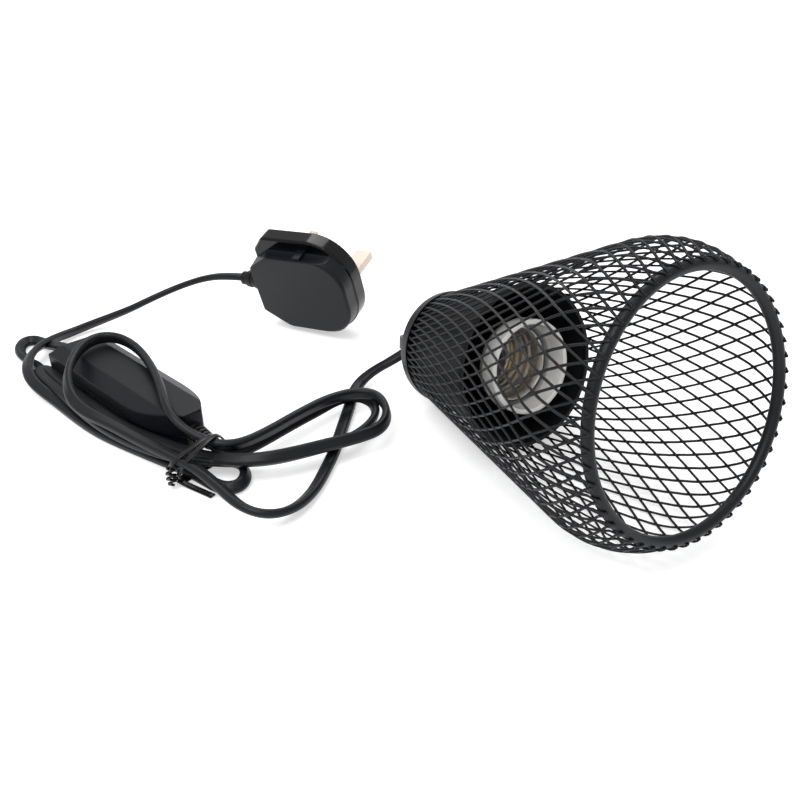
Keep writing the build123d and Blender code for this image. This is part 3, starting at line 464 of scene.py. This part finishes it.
wireGuard = makeCage()
print("guard wound:", len(wireGuard.data.polygons), "faces")


# Plate at the narrow end: a drawn disc whose skirt is rolled over the feet of the strands.
# The profile's points give height and radius.
plate = {
    "around": 128, "steps": 6,
    "profile": [
        (0.0, 5.4), (0.0, 12.0), (0.0, 20.6), (0.15, 22.0), (0.9, 22.8), (2.2, 23.15), (5.2, 23.5),
        (5.65, 23.45), (5.7, 23.25), (5.5, 23.1), (2.2, 22.35), (1.05, 21.9), (0.95, 21.0),
        (0.95, 12.0), (0.95, 5.4), (0.5, 5.36),
    ],
}
platePaint = finish("platePaint", (0.014, 0.0145, 0.017), 0.4, 1200.0, 0.03, 0.12, specular=0.4)


def makePlate():
    # The profile's smooth line, turned about the guard's axis
    line = splineLine([spot + (0.0,) for spot in plate["profile"]], plate["steps"], closed=True) / mm
    turn = np.linspace(0, 2 * np.pi, plate["around"], endpoint=False)[:, None]
    turns, heights, radii = np.broadcast_arrays(turn, line[None, :, 0], line[None, :, 1])
    quads = gridQuads(*turns.shape, True)[:, ::-1].tolist()
    piece = makePiece("cagePlate", onGuard(radii, turns, heights), quads, platePaint)
    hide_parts("top_plate")


makePlate()
print("plate drawn")


# Screw socket: rolled thread with a flared mouth, drawn from thin sheet.
thread = {
    "floor": 21.55, "top": 44.7, "radius": 12.75, "swing": 0.28, "pitch": 3.62, "gauge": 0.28,
    "flare": 0.85, "flareHeight": 3.4, "around": 128, "along": 120, "easeIn": 1.6, "neckTop": 26.0,
    "neckStep": 0.55,
}
nickel = finish("nickel", (0.84, 0.81, 0.76), 0.3, 200.0, 0.001, 0.06, metal=1.0)


def makeSocket():
    # Radius is a middle value with a wave that climbs one pitch each turn and fades out at both ends,
    # a step in below the neck's top, and a flare that grows with the square of the height to the lip
    turn = np.linspace(0, 2 * np.pi, thread["around"], endpoint=False)[None]
    height = np.linspace(thread["floor"], thread["top"], thread["along"])[:, None]
    flareFoot = thread["top"] - thread["flareHeight"]
    fade = np.clip((height - thread["neckTop"]) / thread["easeIn"], 0, 1)
    fade = fade * np.clip((flareFoot - height) / thread["easeIn"], 0, 1)
    neck = thread["neckStep"] * np.clip(thread["neckTop"] - height, 0, 1)
    wave = np.cos(2 * np.pi * height / thread["pitch"] - turn)
    rise = np.clip((height - flareFoot) / thread["flareHeight"], 0, 1)
    inner = thread["radius"] - neck + thread["swing"] * wave * fade + thread["flare"] * rise**2
    outer = inner[::-1] + thread["gauge"]
    turns, heights = np.broadcast_arrays(turn, height)
    radius = np.concatenate([inner, outer])
    points = onGuard(radius, np.concatenate([turns, turns]), np.concatenate([heights, heights[::-1]]))
    quads = gridQuads(2 * thread["along"], thread["around"], True)[:, ::-1].tolist()
    piece = makePiece("threadedSocket", points, quads, nickel)
    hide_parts("screw_shell")


makeSocket()
print("socket rolled")


# Finishes of the pieces that keep their solid shape.
cupPaint = finish("cupPaint", (0.0065, 0.007, 0.0085), 0.5, 1000.0, 0.03, 0.1, specular=0.25)
glaze = finish("glaze", (0.8, 0.79, 0.76), 0.16, 200.0, 0.02, 0.03, coat=0.6)
brass = finish("brass", (0.8, 0.58, 0.34), 0.28, 700.0, 0.02, 0.08, metal=1.0)
steel = finish("steel", (0.56, 0.56, 0.57), 0.3, 700.0, 0.02, 0.08, metal=1.0)
pinMetal = finish("pinMetal", (0.62, 0.52, 0.44), 0.35, 900.0, 0.03, 0.08, metal=0.65)
boxPlastic = finish(
    "boxPlastic", (0.0062, 0.007, 0.0098), 0.38, 1600.0, 0.05, 0.1, specular=0.25, soften=1.2,
)
plugPlastic = finish(
    "plugPlastic", (0.0065, 0.0074, 0.0102), 0.36, 1800.0, 0.05, 0.1, specular=0.25, soften=1.0,
)
rimPlastic = finish("rimPlastic", (0.002, 0.0022, 0.003), 0.1, 300.0, 0.01, 0.1, specular=0.3, soften=0.8)
gripPlastic = finish("gripPlastic", (0.006, 0.006, 0.007), 0.42, 1500.0, 0.03, 0.1, specular=0.3)

# Below the holder's collar the glaze takes a dark tone: heights on the guard's axis, in millimetres, and the
# tone.
skirt = {"dark": 44.6, "pale": 46.4, "tone": (0.012, 0.012, 0.012)}


def darkenSkirt(material):
    # The share of the pale tint grows with the height along the axis, from the dark one to the pale one
    tree = material.node_tree
    shader = tree.nodes["Principled BSDF"]
    tint = shader.inputs["Base Color"].links[0].from_socket
    place = addNode(tree, "TexCoord")
    shift = addNode(tree, "VectorMath", operation="SUBTRACT")
    shift.inputs[1].default_value = guardFoot
    along = addNode(tree, "VectorMath", operation="DOT_PRODUCT")
    along.inputs[1].default_value = axis
    tree.links.new(place.outputs["Object"], shift.inputs[0])
    tree.links.new(shift.outputs["Vector"], along.inputs[0])
    band = addNode(tree, "MapRange")
    band.inputs["From Min"].default_value = skirt["dark"] * mm
    band.inputs["From Max"].default_value = skirt["pale"] * mm
    tree.links.new(along.outputs["Value"], band.inputs["Value"])
    blend = addNode(tree, "Mix", data_type="RGBA")
    # A colour mix keeps its two colours in these inputs and gives the result at this output
    firstColour, secondColour, mixedColour = blend.inputs[6], blend.inputs[7], blend.outputs[2]
    firstColour.default_value = skirt["tone"] + (1.0,)
    tree.links.new(band.outputs["Result"], blend.inputs["Factor"])
    tree.links.new(tint, secondColour)
    tree.links.new(mixedColour, shader.inputs["Base Color"])


darkenSkirt(glaze)
finishes = {
    "mouth_ring": cagePaint, "lamp_cup": cupPaint, "porcelain_body": glaze, "centre_contact": brass,
    "threaded_nipple": steel, "holder_bridge": steel, "nipple_nut": steel, "terminals": brass,
    "hanging_loop": platePaint, "cord_grip": gripPlastic, "switch_cover": boxPlastic,
    "switch_base": boxPlastic, "switch_screws": steel, "right_relief": gripPlastic,
    "left_relief": gripPlastic, "plug_cover": plugPlastic, "plug_base": rimPlastic,
    "earth_pin": pinMetal, "live_pin": pinMetal, "neutral_pin": pinMetal, "pin_sleeves": gripPlastic,
    "fuse_carrier": plugPlastic, "plug_collar": gripPlastic,
}
for nodeName, material in finishes.items():
    node = nodes[nodeName]
    node.data.materials.clear()
    node.data.materials.append(material)
print("finishes laid on", len(finishes), "solids")


# Pale table, soft lamps overhead and a white surround.
studio = {
    "tableSize": 9.0, "tableColour": (0.87, 0.875, 0.885), "tableGlow": 0.5, "roomLight": 0.62,
    "lamps": [
        {"place": (0.1, -0.5, 0.9), "aim": (-0.05, -0.04, 0.0), "size": 0.6, "power": 5.0},
        {"place": (-0.6, 0.3, 0.8), "aim": (-0.05, -0.04, 0.0), "size": 0.5, "power": 2.6},
    ],
}


def makeTable():
    half = studio["tableSize"] / 2
    corners = [(-half, -half, 0.0), (half, -half, 0.0), (half, half, 0.0), (-half, half, 0.0)]
    mesh = bpy.data.meshes.new("table")
    mesh.from_pydata(corners, [], [(0, 1, 2, 3)])
    table = addObject("table", mesh)
    material = bpy.data.materials.new("tableWhite")
    material.use_nodes = True
    tree = material.node_tree
    tree.nodes.remove(tree.nodes["Principled BSDF"])
    # Matt, with a glow that only the camera and mirror-like surfaces see
    matt = addNode(tree, "BsdfDiffuse", Color=studio["tableColour"] + (1.0,))
    glow = addNode(tree, "Emission")
    path = addNode(tree, "LightPath")
    seen = addNode(tree, "Math", operation="MAXIMUM")
    tree.links.new(path.outputs["Is Camera Ray"], seen.inputs[0])
    tree.links.new(path.outputs["Is Glossy Ray"], seen.inputs[1])
    strength = addNode(tree, "Math", operation="MULTIPLY")
    strength.inputs[1].default_value = studio["tableGlow"]
    tree.links.new(seen.outputs["Value"], strength.inputs[0])
    tree.links.new(strength.outputs["Value"], glow.inputs["Strength"])
    both = addNode(tree, "AddShader")
    tree.links.new(matt.outputs["BSDF"], both.inputs[0])
    tree.links.new(glow.outputs["Emission"], both.inputs[1])
    tree.links.new(both.outputs["Shader"], tree.nodes["Material Output"].inputs["Surface"])
    mesh.materials.append(material)


def makeRoom():
    # The camera sees pure white, and everything else is lit by roomLight
    world = bpy.data.worlds.new("room")
    world.use_nodes = True
    bpy.context.scene.world = world
    tree = world.node_tree
    background = tree.nodes["Background"]
    background.inputs["Color"].default_value = (1.0, 1.0, 1.0, 1.0)
    path = addNode(tree, "LightPath")
    level = addNode(tree, "MapRange")
    level.inputs["To Min"].default_value = studio["roomLight"]
    level.inputs["To Max"].default_value = 1.0
    tree.links.new(path.outputs["Is Camera Ray"], level.inputs["Value"])
    tree.links.new(level.outputs["Result"], background.inputs["Strength"])


def makeLamps():
    for number, lamp in enumerate(studio["lamps"]):
        light = bpy.data.lights.new("lamp" + str(number + 1), "AREA")
        light.energy = lamp["power"]
        light.size = lamp["size"]
        aimObject(addObject(light.name, light), lamp["place"], lamp["aim"])


makeTable()
makeRoom()
makeLamps()
bpy.context.scene.view_settings.view_transform = "Standard"
print("studio set")
